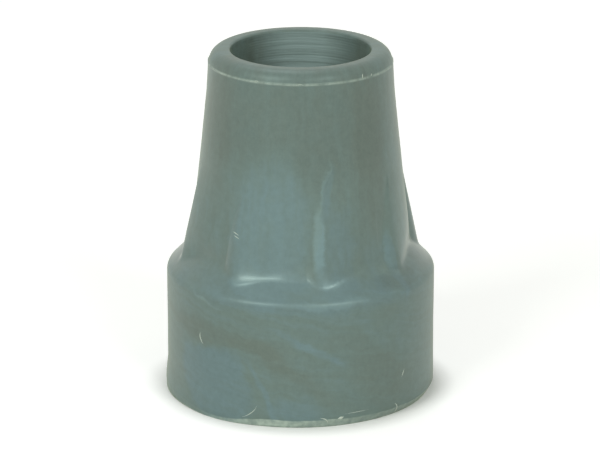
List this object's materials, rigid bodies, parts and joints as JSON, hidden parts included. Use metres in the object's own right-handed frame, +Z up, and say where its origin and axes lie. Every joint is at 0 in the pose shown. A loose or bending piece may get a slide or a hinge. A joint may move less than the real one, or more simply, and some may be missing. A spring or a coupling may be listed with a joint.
{
  "type": "rubber cane tip",
  "caption": "Push-on rubber tip for a cane: a tapering neck with buttress ribs around a blind socket, a sloping shoulder and a thick round foot with a ringed tread.",
  "frame": {"origin": "centre of the underside, on the ground", "axes": "+Z up along the cane's axis, out of the socket's mouth; -Y is the front of the picture's view"},
  "size_m": [0.0372, 0.0372, 0.0478],
  "materials": {
    "rubber": "matt moulded grey rubber with faint marbling"
  },
  "bodies": {
    "root": {"cane_tip": "rubber"}
  },
  "joints": []
}
